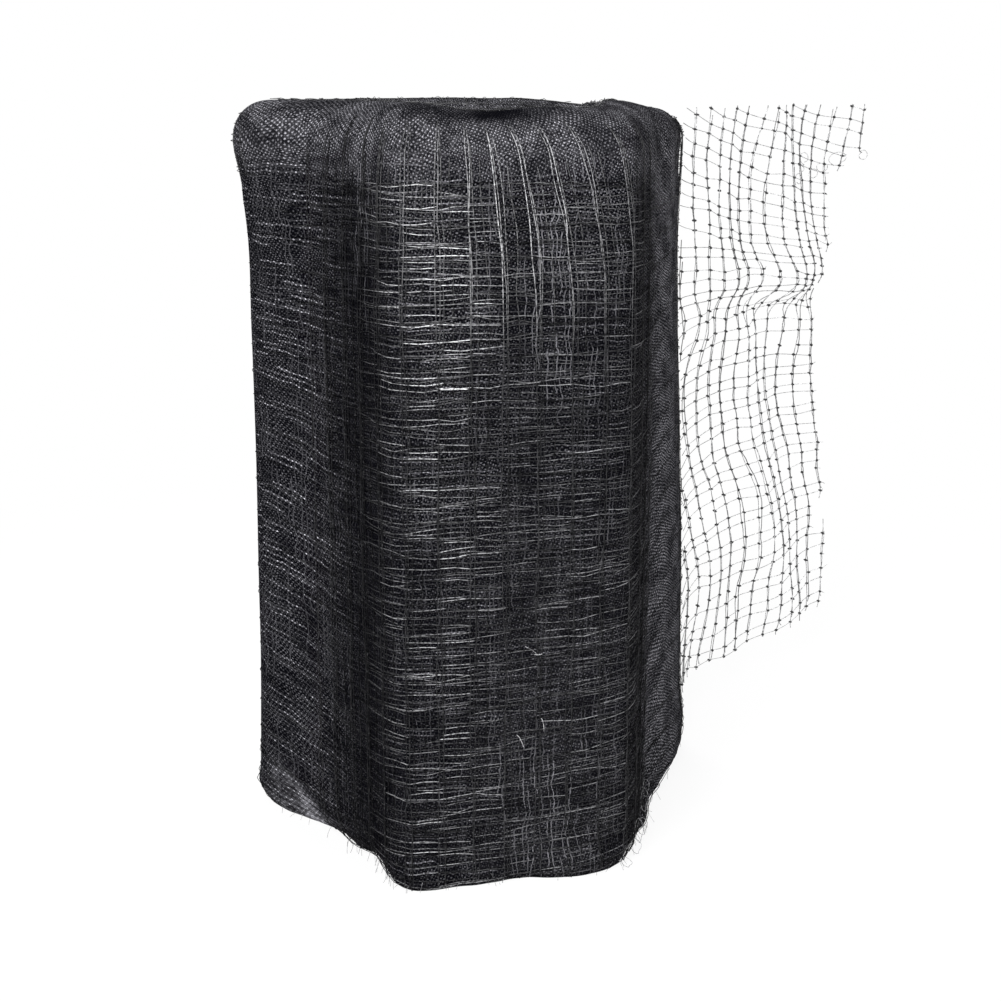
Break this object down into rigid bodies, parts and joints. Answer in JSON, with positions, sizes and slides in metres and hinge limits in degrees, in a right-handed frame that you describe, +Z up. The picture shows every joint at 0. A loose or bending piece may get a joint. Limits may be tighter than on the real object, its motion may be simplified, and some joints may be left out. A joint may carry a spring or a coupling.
{
  "type": "roll of plastic mesh fencing",
  "caption": "Black plastic mesh fencing, folded and wound into a soft faceted roll that stands on its end, with the net's loose end leaving its right rear.",
  "frame": {"origin": "middle of the whole part's footprint on the floor it stands on", "axes": "+Z up along the roll's axis, -Y towards the front face, +X towards the side where the loose end leaves"},
  "size_m": [0.4406, 0.4078, 0.446],
  "materials": {
    "netting": "thin black extruded mesh, slightly glossy strands with a faint blue cast, dense where it is wound"
  },
  "bodies": {
    "root": {"net_roll": "netting", "net_tail": "netting"}
  },
  "joints": []
}
